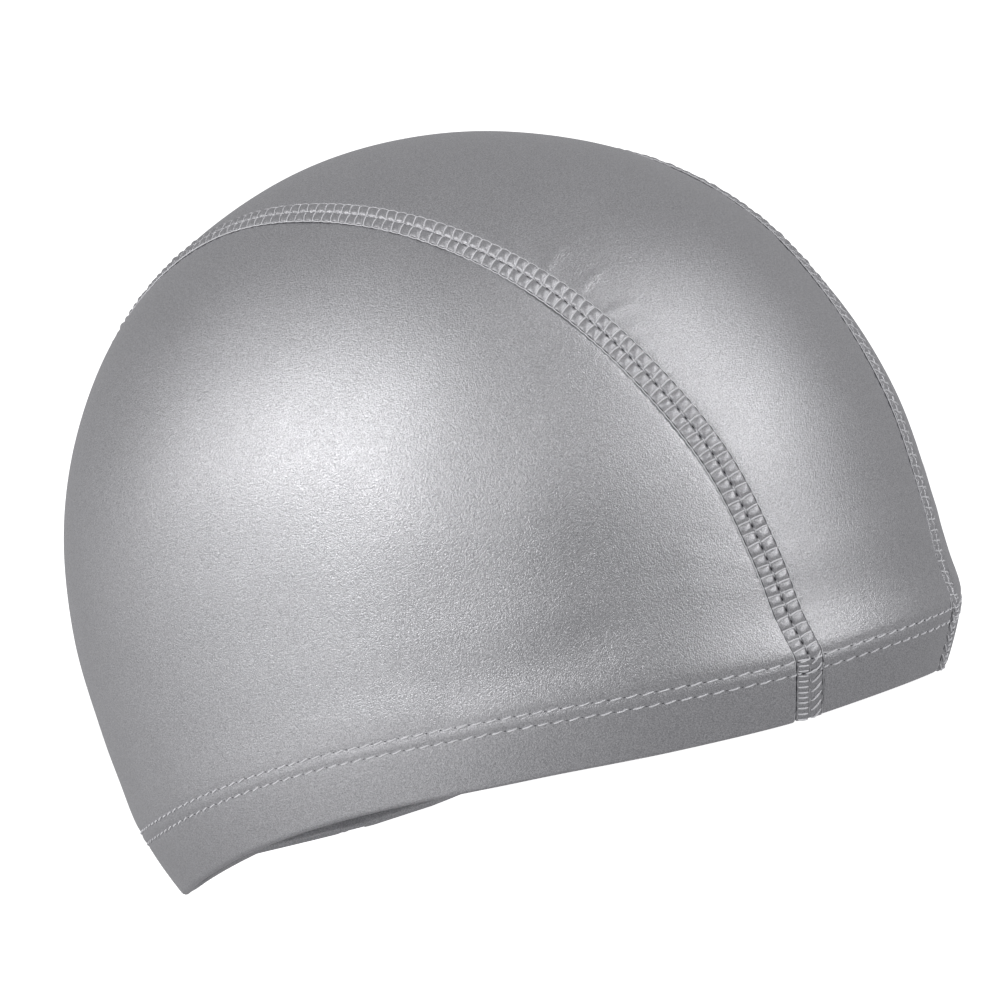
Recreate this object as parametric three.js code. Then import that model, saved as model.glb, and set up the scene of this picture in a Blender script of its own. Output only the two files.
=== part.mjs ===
// A stretch swim cap in three panels with a folded hem, as it keeps its form when worn.
// Millimetres, +Z up, +X to the forehead, +Y to the wearer's left. The rim stands on z = 0.
import * as THREE from 'three';

// The cap's overall form.
const LENGTH = 204;
const WIDTH = 160;
const HEIGHT = 142;
// Where the cap is widest, forward of the middle of its length.
const WIDEST_X = -4;
// How far the rim rises over the ears, where it rises most.
const RIM_ARCH = 7.8;

// The folded hem: its height along the cloth, and how far it turns inward at its edge.
const HEM_WIDTH_FRONT = 14.2;
const HEM_WIDTH_BACK = 17;
const HEM_WIDTH_SIDE = 15.8;
const HEM_TURN_FRONT = 8;
const HEM_TURN_BACK = 4.5;
const HEM_TURN_SIDE = 5.5;
const HEM_THICKNESS = 2.4;
const HEM_BULGE = 0.35;

// The panels' cloth, the joining strips, and the gap that separate pieces keep.
const PANEL_THICKNESS = 1.2;
const SEAM_WIDTH = 6;
const SEAM_PROUD = 0.4;
const SEAM_DEPTH = 1;
const SEAM_SHOULDER = 0.5;
const GAP = 0.3;

// Half the centre panel's width at its widest.
const CENTRE_HALF_WIDTH = 41.5;

// How fine the meshes are.
const SEAM_STEPS = 36;
const CENTRE_COLUMNS = 10;
const HEM_STEPS = 84;
const SIDE_HEM_STEPS = 30;
const SIDE_RINGS = 7;
// Where down the hem its sections have points, from its top line to its edge, and where the
// joining strips do, which stop just short of the edge.
const HEM_OUTSIDE = [0.3, 0.65, 0.93];
const HEM_INSIDE = [0.93, 0.5];
const SEAM_ON_HEM = [0.25, 0.5, 0.75, 0.97];
// The slope of a groove's wall, and how near a groove the hem's regular sections stop.
const GROOVE_WALL = 0.1;
const GROOVE_MARGIN = 1;
// How much of the hem's thickness is rounded off at each side of its foot.
const HEM_FOOT_ROUND = 0.2;
// The middle of a side panel's rings, as a share of the rise.
const SIDE_MIDDLE_RISE = 0.3;

// Sections of the dome from the hem's top line to the crown. The last four values are shares of
// the height, of the length before and behind the widest place, and of half the width.
const DOME = {
  columns: ['rise', 'height', 'front', 'back', 'side'],
  rows: [
    [0.000, 0.000, 1.000, 0.990, 0.965],
    [0.050, 0.068, 0.990, 0.995, 0.975],
    [0.125, 0.170, 0.995, 1.000, 0.990],
    [0.250, 0.350, 0.978, 0.985, 1.000],
    [0.375, 0.530, 0.900, 0.910, 0.975],
    [0.500, 0.690, 0.780, 0.785, 0.890],
    [0.625, 0.820, 0.610, 0.620, 0.750],
    [0.750, 0.920, 0.410, 0.420, 0.530],
    [0.875, 0.980, 0.205, 0.210, 0.270],
    [1.000, 1.000, 0.000, 0.000, 0.000],
  ],
};

// The rim's height as a share of RIM_ARCH, by the plan angle from the forehead in degrees.
const RIM = {
  columns: ['angle', 'height'],
  rows: [
    [0, 0.00],
    [20, 0.00],
    [40, 0.25],
    [60, 0.65],
    [85, 1.00],
    [105, 0.85],
    [130, 0.25],
    [145, 0.00],
    [155, 0.00],
    [180, 0.30],
  ],
};

// The seams' distance from the middle as a share of CENTRE_HALF_WIDTH, by the angle over the top
// of the head in degrees, from the forehead to the nape.
const SEAM = {
  columns: ['angle', 'distance'],
  rows: [
    [0, 0.60],
    [20, 0.69],
    [40, 0.82],
    [60, 0.94],
    [80, 1.00],
    [100, 0.95],
    [120, 0.86],
    [150, 0.69],
    [180, 0.65],
  ],
};

const { abs, asin, atan2, cos, max, min, PI, sin, sqrt } = Math;
const degrees = THREE.MathUtils.radToDeg;
const vector = (x, y, z) => new THREE.Vector3(x, y, z);
const mix = (a, b, share) => a + (b - a) * share;

// Smooth interpolation through one column of a table. A flat end comes in level at the last row.
function between(table, at, name, flatEnd = false) {
  const rows = table.rows;
  const column = table.columns.indexOf(name);
  const last = rows.length - 1;
  const place = min(max(at, rows[0][0]), rows[last][0]);
  let i = 0;
  while (i < last - 1 && place >= rows[i + 1][0]) i += 1;
  const slope = (k) => {
    if (flatEnd && k === last) return 0;
    const low = rows[max(k - 1, 0)];
    const high = rows[min(k + 1, last)];
    return (high[column] - low[column]) / (high[0] - low[0]);
  };
  const span = rows[i + 1][0] - rows[i][0];
  const s = (place - rows[i][0]) / span;
  const ease = 3 * s ** 2 - 2 * s ** 3;
  const leaving = (s ** 3 - 2 * s ** 2 + s) * span * slope(i);
  const arriving = (s ** 3 - s ** 2) * span * slope(i + 1);
  return mix(rows[i][column], rows[i + 1][column], ease) + leaving + arriving;
}

// The rim and hem by the plan angle phi: 0 at the forehead, a quarter turn at the left ear.
const outward = (phi) => vector(cos(phi), sin(phi), 0);

function rimHeight(phi) {
  return RIM_ARCH * max(0, between(RIM, degrees(abs(phi)), 'height'));
}

// A size that the hem has over the ears, easing to its sizes at the forehead and the nape.
function roundRim(phi, front, side, back) {
  return mix(side, cos(phi) > 0 ? front : back, cos(phi) ** 2);
}

function hemTurn(phi) {
  return roundRim(phi, HEM_TURN_FRONT, HEM_TURN_SIDE, HEM_TURN_BACK);
}

function hemDrop(phi) {
  const width = roundRim(phi, HEM_WIDTH_FRONT, HEM_WIDTH_SIDE, HEM_WIDTH_BACK);
  return sqrt(width ** 2 - hemTurn(phi) ** 2);
}

// The cap's outer surface above the hem: rise is 0 at the hem's top line and 1 at the crown.
function domePoint(phi, rise) {
  const reach = cos(phi) > 0
    ? (LENGTH / 2 - WIDEST_X) * between(DOME, rise, 'front')
    : (LENGTH / 2 + WIDEST_X) * between(DOME, rise, 'back');
  const side = WIDTH / 2 * between(DOME, rise, 'side');
  const foot = rimHeight(phi) + hemDrop(phi);
  const z = mix(foot, HEIGHT, between(DOME, rise, 'height', true));
  return vector(WIDEST_X + reach * cos(phi), side * sin(phi), z);
}

// The hem's outer surface: share is 0 at its top line and 1 at the rim's edge.
function hemPoint(phi, share) {
  const inward = outward(phi).multiplyScalar(-hemTurn(phi) * share);
  return domePoint(phi, 0).add(inward).add(vector(0, 0, -hemDrop(phi) * share));
}

// Small steps for the slopes of both surfaces.
const STEP_PHI = 1e-3;
const STEP_RISE = 1e-3;
const NEAR_CROWN = 0.99;

function slopes(phi, rise) {
  const low = max(rise - STEP_RISE, 0);
  const high = min(rise + STEP_RISE, 1);
  const around = domePoint(phi + STEP_PHI, rise).sub(domePoint(phi - STEP_PHI, rise));
  const upward = domePoint(phi, high).sub(domePoint(phi, low));
  return {
    around: around.divideScalar(2 * STEP_PHI),
    upward: upward.divideScalar(high - low),
  };
}

function domeNormal(phi, rise) {
  const { around, upward } = slopes(phi, min(rise, NEAR_CROWN));
  return around.cross(upward).normalize();
}

// How far the middle of the hem goes for each radian of the plan angle, and which way.
function hemRate(phi) {
  const step = hemPoint(phi + STEP_PHI, 0.5).sub(hemPoint(phi - STEP_PHI, 0.5));
  return step.divideScalar(2 * STEP_PHI);
}

// The level direction along the hem.
function hemAlong(phi) {
  return hemRate(phi).setZ(0).normalize();
}

function hemNormal(phi) {
  const upward = hemPoint(phi, 0).sub(hemPoint(phi, 1));
  return hemRate(phi).cross(upward).normalize();
}

// The direction that halves the bend between the dome and the hem, as long as a wall of
// thickness 1 is there.
function mitre(phi) {
  const dome = domeNormal(phi, 0);
  const half = dome.clone().add(hemNormal(phi)).normalize();
  return half.divideScalar(half.dot(dome));
}

// The rise that keeps the panels GAP above the hem's top line.
const HEM_GAP_RISE = GAP / slopes(PI / 2, 0).upward.length();

// The direction out through the cloth at a place on the dome.
function through({ phi, rise }) {
  return rise <= HEM_GAP_RISE ? mitre(phi) : domeNormal(phi, rise);
}

// Angles over the top turn about a line across the head, just below the hem's top line.
const PIVOT_HEIGHT = 0.75 * HEM_WIDTH_FRONT;
// The dome only narrows above this rise.
const FULL_WIDTH_RISE = 0.25;
const SEARCHES = 30;
const ON_MIDDLE = 1e-6;

function overTopAngle(point) {
  return atan2(point.z - PIVOT_HEIGHT, point.x - WIDEST_X);
}

// The largest rise at which the dome is still as wide as y.
function riseAtSide(y) {
  let low = FULL_WIDTH_RISE;
  let high = 1;
  for (let i = 0; i < SEARCHES; i += 1) {
    const middle = (low + high) / 2;
    if (WIDTH / 2 * between(DOME, middle, 'side') > abs(y)) low = middle;
    else high = middle;
  }
  return low;
}

// The place on the dome at an angle over the top and a distance y to the left of the middle.
function placeOverTop(angle, y, lowest) {
  const front = angle <= PI / 2;
  const placeAt = (rise) => {
    const sine = min(1, abs(y) / (WIDTH / 2 * between(DOME, rise, 'side')));
    const turn = front ? asin(sine) : PI - asin(sine);
    return { phi: y < 0 ? -turn : turn, rise };
  };
  let low = lowest;
  let high = abs(y) < ON_MIDDLE ? 1 : riseAtSide(y);
  for (let i = 0; i < SEARCHES; i += 1) {
    const place = placeAt((low + high) / 2);
    const reached = overTopAngle(domePoint(place.phi, place.rise));
    if (front ? reached < angle : reached > angle) low = place.rise;
    else high = place.rise;
  }
  return placeAt(low);
}

// The place that lies a short way along a direction from another place on the dome.
function stepFrom(place, direction) {
  const { around, upward } = slopes(place.phi, place.rise);
  const aa = around.dot(around);
  const au = around.dot(upward);
  const uu = upward.dot(upward);
  const a = around.dot(direction);
  const u = upward.dot(direction);
  const scale = aa * uu - au * au;
  return {
    phi: place.phi + (a * uu - u * au) / scale,
    rise: max(place.rise + (u * aa - a * au) / scale, HEM_GAP_RISE),
  };
}

// The middle line of a seam over the dome, from the forehead to the nape. side is 1 for left.
function seamPlaces(side) {
  const places = [];
  for (let i = 0; i <= SEAM_STEPS; i += 1) {
    const angle = PI * i / SEAM_STEPS;
    const y = side * CENTRE_HALF_WIDTH * between(SEAM, degrees(angle), 'distance');
    places.push(placeOverTop(angle, y, 0));
  }
  return places;
}

// The unit direction across a seam at each of its places, to the wearer's left.
function seamAcross(places) {
  const points = places.map((place) => domePoint(place.phi, place.rise));
  return places.map((place, i) => {
    const along = points[min(i + 1, SEAM_STEPS)].clone().sub(points[max(i - 1, 0)]);
    return along.cross(domeNormal(place.phi, place.rise)).normalize();
  });
}

// Whether a step along a seam is one of its two ends, on the hem's top line.
const atHem = (i) => i === 0 || i === SEAM_STEPS;

// A cut edge of a panel, clear of the seam beside it. toward is 1 for the edge on the seam's left.
function seamEdge(side, toward) {
  const places = seamPlaces(side);
  const across = seamAcross(places);
  const clear = toward * (SEAM_WIDTH / 2 + GAP);
  return places.map((place, i) => {
    const edge = stepFrom(place, across[i].clone().multiplyScalar(clear));
    return atHem(i) ? { phi: edge.phi, rise: HEM_GAP_RISE } : edge;
  });
}

// Collects triangles and makes one closed mesh of them, with its faces pointing out.
class Skin {
  constructor() {
    this.corners = [];
  }

  triangle(a, b, c) {
    this.corners.push(a, b, c);
  }

  quad(a, b, c, d) {
    this.triangle(a, b, c);
    this.triangle(a, c, d);
  }

  geometry() {
    const corners = this.corners;
    let volume = 0;
    for (let i = 0; i < corners.length; i += 3) {
      volume += corners[i].dot(corners[i + 1].clone().cross(corners[i + 2]));
    }
    const ordered = volume > 0 ? corners : corners.toReversed();
    const geometry = new THREE.BufferGeometry().setFromPoints(ordered);
    geometry.computeVertexNormals();
    return geometry;
  }
}

// Joins loops of points, each as long as the next, side by side.
function joinLoops(skin, first, second) {
  const count = first.length;
  for (let j = 0; j < count; j += 1) {
    const next = (j + 1) % count;
    skin.quad(first[j], first[next], second[next], second[j]);
  }
}

// A solid through closed sections. Each section runs along the outside and back along the inside.
function loft(sections, closed = false) {
  const skin = new Skin();
  for (let i = 0; i + 1 < sections.length; i += 1) joinLoops(skin, sections[i], sections[i + 1]);
  if (closed) {
    joinLoops(skin, sections.at(-1), sections[0]);
    return skin.geometry();
  }
  const last = sections[0].length - 1;
  for (let j = 0; j < (last - 1) / 2; j += 1) {
    const [start, end] = [sections[0], sections.at(-1)];
    skin.quad(start[j], start[last - j], start[last - j - 1], start[j + 1]);
    skin.quad(end[j], end[j + 1], end[last - j - 1], end[last - j]);
  }
  return skin.geometry();
}

// A solid sheet through closed rings from its outer middle over its edge to its inner middle.
function loftDisc(outerMiddle, rings, innerMiddle) {
  const skin = new Skin();
  const count = rings[0].length;
  for (let j = 0; j < count; j += 1) {
    const next = (j + 1) % count;
    skin.triangle(outerMiddle, rings[0][next], rings[0][j]);
    skin.triangle(innerMiddle, rings.at(-1)[j], rings.at(-1)[next]);
  }
  for (let i = 0; i + 1 < rings.length; i += 1) joinLoops(skin, rings[i], rings[i + 1]);
  return skin.geometry();
}

// A point of a panel, at a depth through its cloth.
function panelPoint(place, depth) {
  return domePoint(place.phi, place.rise).addScaledVector(through(place), -depth);
}

// The centre panel: a section across it at each step from the forehead to the nape.
function centrePanel() {
  const right = seamEdge(-1, 1);
  const left = seamEdge(1, -1);
  const sections = right.map((from, i) => {
    const start = domePoint(from.phi, from.rise);
    const end = domePoint(left[i].phi, left[i].rise);
    const places = [from];
    for (let j = 1; j < CENTRE_COLUMNS; j += 1) {
      const share = j / CENTRE_COLUMNS;
      const angle = atHem(i)
        ? PI * i / SEAM_STEPS
        : mix(overTopAngle(start), overTopAngle(end), share);
      places.push(placeOverTop(angle, mix(start.y, end.y, share), HEM_GAP_RISE));
    }
    places.push(left[i]);
    const outer = places.map((place) => panelPoint(place, 0));
    const inner = places.map((place) => panelPoint(place, PANEL_THICKNESS));
    return [...outer, ...inner.reverse()];
  });
  return loft(sections);
}

// A side panel: rings from its middle out to the seam above it and the hem below it.
function sidePanel(side) {
  const edge = seamEdge(side, side);
  const [front, back] = [edge[0], edge.at(-1)];
  for (let i = SIDE_HEM_STEPS - 1; i > 0; i -= 1) {
    edge.push({ phi: mix(front.phi, back.phi, i / SIDE_HEM_STEPS), rise: HEM_GAP_RISE });
  }
  const middle = { phi: side * PI / 2, rise: SIDE_MIDDLE_RISE };
  const rings = [];
  for (let k = 1; k <= SIDE_RINGS; k += 1) {
    const share = k / SIDE_RINGS;
    rings.push(edge.map((place) => ({
      phi: mix(middle.phi, place.phi, share),
      rise: mix(middle.rise, place.rise, share),
    })));
  }
  const outer = rings.map((ring) => ring.map((place) => panelPoint(place, 0)));
  const inner = rings.map((ring) => ring.map((place) => panelPoint(place, PANEL_THICKNESS)));
  const sheet = [...outer, ...inner.reverse()];
  return loftDisc(panelPoint(middle, 0), sheet, panelPoint(middle, PANEL_THICKNESS));
}

// How far the hem stands out from a straight line between its top line and its edge.
const hemBulge = (share) => HEM_BULGE * sin(PI * share);

// One section of a joining strip: a flat band with sloped shoulders.
function seamSection(point, sideways, outwards) {
  const half = SEAM_WIDTH / 2;
  const corners = [
    [-half, SEAM_PROUD - SEAM_SHOULDER / 2],
    [SEAM_SHOULDER - half, SEAM_PROUD],
    [half - SEAM_SHOULDER, SEAM_PROUD],
    [half, SEAM_PROUD - SEAM_SHOULDER / 2],
    [half, -SEAM_DEPTH],
    [half / 3, -SEAM_DEPTH],
    [-half / 3, -SEAM_DEPTH],
    [-half, -SEAM_DEPTH],
  ];
  return corners.map(([along, out]) => (
    point.clone().addScaledVector(sideways, along).addScaledVector(outwards, out)
  ));
}

// The stretch of a joining strip that lies on the hem, from the hem's top line to its edge.
function seamOnHem(phi) {
  const left = hemAlong(phi).multiplyScalar(cos(phi) > 0 ? 1 : -1);
  return SEAM_ON_HEM.map((share) => {
    const point = hemPoint(phi, share).addScaledVector(hemNormal(phi), hemBulge(share));
    return seamSection(point, left, hemNormal(phi));
  });
}

// A joining strip, from rim to rim over the top.
function seamStrip(side) {
  const places = seamPlaces(side);
  const across = seamAcross(places);
  const over = places.map((place, i) => (
    seamSection(domePoint(place.phi, place.rise), across[i], through(place))
  ));
  return loft([...seamOnHem(places[0].phi).reverse(), ...over, ...seamOnHem(places.at(-1).phi)]);
}

// The hem: a ring of sections, with a groove on the outside where each joining strip lies.
function hemBand() {
  const half = SEAM_WIDTH / 2 + GAP;
  const columns = [];
  const grooves = [1, -1].flatMap((side) => {
    const places = seamPlaces(side);
    return [places[0].phi, places.at(-1).phi];
  });
  for (const phi of grooves) {
    for (const beside of [-half - GROOVE_WALL, half + GROOVE_WALL]) {
      columns.push({ phi, beside, groove: 0 });
    }
    for (const beside of [-half, 0, half]) {
      columns.push({ phi, beside, groove: SEAM_DEPTH + GAP });
    }
  }
  for (let i = 0; i < HEM_STEPS; i += 1) {
    const phi = 2 * PI * i / HEM_STEPS - PI;
    const from = domePoint(phi, 0);
    const nearest = min(...grooves.map((groove) => domePoint(groove, 0).distanceTo(from)));
    if (nearest > half + GROOVE_MARGIN) columns.push({ phi, beside: 0, groove: 0 });
  }
  const angle = ({ phi, beside }) => phi + beside / hemRate(phi).length();
  columns.sort((a, b) => angle(a) - angle(b));
  return loft(columns.map(hemSection), true);
}

// One section of the hem. Its foot is level, so the cap stands flat where the rim meets the ground.
function hemSection({ phi, beside, groove }) {
  const sideways = hemAlong(phi).multiplyScalar(beside);
  const at = (share, direction, depth) => (
    hemPoint(phi, share).add(sideways).addScaledVector(direction, -depth)
  );
  const round = HEM_FOOT_ROUND * (HEM_THICKNESS - groove);
  return [
    at(0, mitre(phi), groove),
    ...HEM_OUTSIDE.map((share) => at(share, hemNormal(phi), groove - hemBulge(share))),
    at(1, outward(phi), groove + round),
    at(1, outward(phi), HEM_THICKNESS - round),
    ...HEM_INSIDE.map((share) => at(share, hemNormal(phi), HEM_THICKNESS)),
    at(0, mitre(phi), HEM_THICKNESS),
  ];
}

const cloth = new THREE.MeshStandardMaterial({ color: 0xa3a3a8, roughness: 0.45, metalness: 0.8 });
const seamCloth = new THREE.MeshStandardMaterial({ color: 0xb2b2b6, roughness: 0.6, metalness: 0.5 });

function piece(name, geometry, material) {
  const mesh = new THREE.Mesh(geometry, material);
  mesh.name = name;
  return mesh;
}

const cap = new THREE.Group();
cap.add(piece('centre_panel', centrePanel(), cloth));
cap.add(piece('left_side_panel', sidePanel(1), cloth));
cap.add(piece('right_side_panel', sidePanel(-1), cloth));
cap.add(piece('hem_band', hemBand(), cloth));
cap.add(piece('left_seam', seamStrip(1), seamCloth));
cap.add(piece('right_seam', seamStrip(-1), seamCloth));

export default cap;
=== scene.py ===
import bpy
import numpy as np
from mathutils import Matrix, Vector
from mathutils.kdtree import KDTree


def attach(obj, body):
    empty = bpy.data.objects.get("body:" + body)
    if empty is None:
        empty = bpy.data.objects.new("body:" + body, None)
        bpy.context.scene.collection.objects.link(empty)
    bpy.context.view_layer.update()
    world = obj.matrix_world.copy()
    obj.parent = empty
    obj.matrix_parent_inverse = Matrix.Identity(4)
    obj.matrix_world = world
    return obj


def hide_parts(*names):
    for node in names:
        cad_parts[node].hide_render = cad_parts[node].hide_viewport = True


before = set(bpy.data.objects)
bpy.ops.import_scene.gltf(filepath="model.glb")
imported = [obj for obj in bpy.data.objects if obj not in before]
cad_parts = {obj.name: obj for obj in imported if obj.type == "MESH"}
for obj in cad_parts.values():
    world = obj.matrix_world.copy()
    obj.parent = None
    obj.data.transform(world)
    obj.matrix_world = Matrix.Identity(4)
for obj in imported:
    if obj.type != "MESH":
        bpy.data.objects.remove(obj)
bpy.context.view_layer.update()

MM = 0.001

# The cap's overall form, the same as the solids'.
LENGTH = 204
WIDTH = 160
HEIGHT = 142
WIDEST_X = -4
RIM_ARCH = 7.8
HEM_WIDTHS = {"front": 14.2, "side": 15.8, "back": 17}
HEM_TURNS = {"front": 8, "side": 5.5, "back": 4.5}
HEM_BULGE = 0.35
CENTRE_HALF_WIDTH = 41.5
PIVOT_HEIGHT = 0.75 * HEM_WIDTHS["front"]
FULL_WIDTH_RISE = 0.25
# The cloth's length from the hem's top line to the crown.
RISE_LENGTH = 178
# How far the bend at the hem's top line is eased to each side.
KINK_EASE = 1.6

# The cloth, the hem and the seams' tapes. The bed is the hem's hollow under a tape.
CLOTH_THICKNESS = 0.9
HEM_THICKNESS = 2.2
HEM_FOOT_DROP = 0.35
TAPE_HALF_WIDTH = 2.95
PANEL_EDGE = 3.08
TAPE_DEPTH = 0.9
TAPE_BED = 1.15
THREAD_RADIUS = 0.125


def table(names, rows):
    """A table's columns by name. The first one is what the others are looked up by."""
    return dict(zip(names.split(), np.array(rows, float).T))


DOME = table("rise height front back side", [
    [0.000, 0.000, 1.000, 0.990, 0.965],
    [0.050, 0.068, 0.990, 0.995, 0.975],
    [0.125, 0.170, 0.995, 1.000, 0.990],
    [0.250, 0.350, 0.978, 0.985, 1.000],
    [0.375, 0.530, 0.900, 0.910, 0.975],
    [0.500, 0.690, 0.780, 0.785, 0.890],
    [0.625, 0.820, 0.610, 0.620, 0.750],
    [0.750, 0.920, 0.410, 0.420, 0.530],
    [0.875, 0.980, 0.205, 0.210, 0.270],
    [1.000, 1.000, 0.000, 0.000, 0.000],
])
RIM = table("angle height", [
    [0, 0.00],
    [20, 0.00],
    [40, 0.25],
    [60, 0.65],
    [85, 1.00],
    [105, 0.85],
    [130, 0.25],
    [145, 0.00],
    [155, 0.00],
    [180, 0.30],
])
SEAM = table("angle distance", [
    [0, 0.60],
    [20, 0.69],
    [40, 0.82],
    [60, 0.94],
    [80, 1.00],
    [100, 0.95],
    [120, 0.86],
    [150, 0.69],
    [180, 0.65],
])


def mix(a, b, share):
    return a + (b - a) * share


def bump(distance, width):
    """1 in the middle, falling softly to nothing past the width."""
    return np.exp(-(distance / width) ** 2)


def smoothstep(low, high, value):
    share = np.clip((value - low) / (high - low), 0, 1)
    return share * share * (3 - 2 * share)


def between(columns, at, name, flat_end=False):
    """Smooth interpolation through one column of a table."""
    places, values = next(iter(columns.values())), columns[name]
    last = len(places) - 1
    at = np.clip(at, places[0], places[-1])
    i = np.clip(np.searchsorted(places, at, side="right") - 1, 0, last - 1)
    low = np.maximum(np.arange(last + 1) - 1, 0)
    high = np.minimum(np.arange(last + 1) + 1, last)
    slope = (values[high] - values[low]) / (places[high] - places[low])
    if flat_end:
        slope[last] = 0
    span = places[i + 1] - places[i]
    s = (at - places[i]) / span
    leaving = (s ** 3 - 2 * s ** 2 + s) * span * slope[i]
    arriving = (s ** 3 - s ** 2) * span * slope[i + 1]
    return mix(values[i], values[i + 1], s * s * (3 - 2 * s)) + leaving + arriving


def unit(vectors):
    return vectors / np.linalg.norm(vectors, axis=-1, keepdims=True)


# The bare form. phi is the plan angle, 0 at the forehead and positive to the left. level is the
# distance along the cloth above the hem's top line, and negative on the hem.
def round_rim(phi, sizes):
    end = np.where(np.cos(phi) > 0, sizes["front"], sizes["back"])
    return mix(sizes["side"], end, np.cos(phi) ** 2)


def from_front(phi):
    """The plan angle from the forehead in degrees, the same to the left and to the right."""
    return np.abs((np.degrees(phi) + 180) % 360 - 180)


def rim_height(phi):
    return RIM_ARCH * np.maximum(0, between(RIM, from_front(phi), "height"))


def hem_drop(phi):
    return np.sqrt(round_rim(phi, HEM_WIDTHS) ** 2 - round_rim(phi, HEM_TURNS) ** 2)


def dome_point(phi, rise):
    front = (LENGTH / 2 - WIDEST_X) * between(DOME, rise, "front")
    back = (LENGTH / 2 + WIDEST_X) * between(DOME, rise, "back")
    x = WIDEST_X + np.where(np.cos(phi) > 0, front, back) * np.cos(phi)
    y = WIDTH / 2 * between(DOME, rise, "side") * np.sin(phi)
    foot = rim_height(phi) + hem_drop(phi)
    z = mix(foot, HEIGHT, between(DOME, rise, "height", flat_end=True))
    return np.stack([x, y, z], -1)


def sharp_skin(phi, level):
    phi, level = np.broadcast_arrays(np.asarray(phi, float), np.asarray(level, float))
    share = np.maximum(-level, 0) / round_rim(phi, HEM_WIDTHS)
    turn = round_rim(phi, HEM_TURNS) * share
    fall = np.stack([-turn * np.cos(phi), -turn * np.sin(phi), -hem_drop(phi) * share], -1)
    return dome_point(phi, np.maximum(level, 0) / RISE_LENGTH) + fall


def skin(phi, level):
    """The cap's bare outer surface, with its bend at the hem eased."""
    steps = KINK_EASE * np.linspace(-1, 1, 5)
    return sum(sharp_skin(phi, np.asarray(level) + step) for step in steps) / len(steps)


# The steps that the surface's slopes are measured with, and the highest level where they are.
STEP_PHI = 2e-3
STEP_LEVEL = 0.2
NEAR_CROWN = 0.985 * RISE_LENGTH


def slopes(phi, level):
    """How the surface point moves for each radian of phi, and for each millimetre of level."""
    level = np.minimum(level, NEAR_CROWN)
    around = skin(phi + STEP_PHI, level) - skin(phi - STEP_PHI, level)
    upward = skin(phi, level + STEP_LEVEL) - skin(phi, level - STEP_LEVEL)
    return around / (2 * STEP_PHI), upward / (2 * STEP_LEVEL)


def normal(phi, level):
    around, upward = slopes(phi, level)
    return unit(np.cross(around, upward))


def step_from(phi, level, direction):
    """The place that lies a short way along a direction from another place."""
    around, upward = slopes(phi, level)
    aa, au, uu = (around * around).sum(-1), (around * upward).sum(-1), (upward * upward).sum(-1)
    a, u = (around * direction).sum(-1), (upward * direction).sum(-1)
    scale = aa * uu - au * au
    return phi + (a * uu - u * au) / scale, level + (u * aa - a * au) / scale


# Halvings in each search for a place, and the least half width, which keeps the crown from 0 / 0.
SEARCHES = 30
LEAST_HALF_WIDTH = 1e-9


def place_over_top(angle, y):
    """The place at an angle over the top of the head, in radians, and a distance y to the left."""
    angle, y = np.broadcast_arrays(np.asarray(angle, float), np.asarray(y, float))
    ahead = angle <= np.pi / 2

    def half_width(rise):
        return np.maximum(WIDTH / 2 * between(DOME, rise, "side"), LEAST_HALF_WIDTH)

    def phi_at(rise):
        turn = np.arcsin(np.minimum(1, np.abs(y) / half_width(rise)))
        return np.where(y < 0, -1, 1) * np.where(ahead, turn, np.pi - turn)

    low, high = np.full(y.shape, FULL_WIDTH_RISE), np.ones(y.shape)
    for _ in range(SEARCHES):
        middle = (low + high) / 2
        wide = half_width(middle) > np.abs(y)
        low, high = np.where(wide, middle, low), np.where(wide, high, middle)
    low, high = np.zeros(y.shape), low
    for _ in range(SEARCHES):
        middle = (low + high) / 2
        point = dome_point(phi_at(middle), middle)
        reached = np.arctan2(point[..., 2] - PIVOT_HEIGHT, point[..., 0] - WIDEST_X)
        below = np.where(ahead, reached < angle, reached > angle)
        low, high = np.where(below, middle, low), np.where(below, high, middle)
    return phi_at(low), low * RISE_LENGTH


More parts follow.
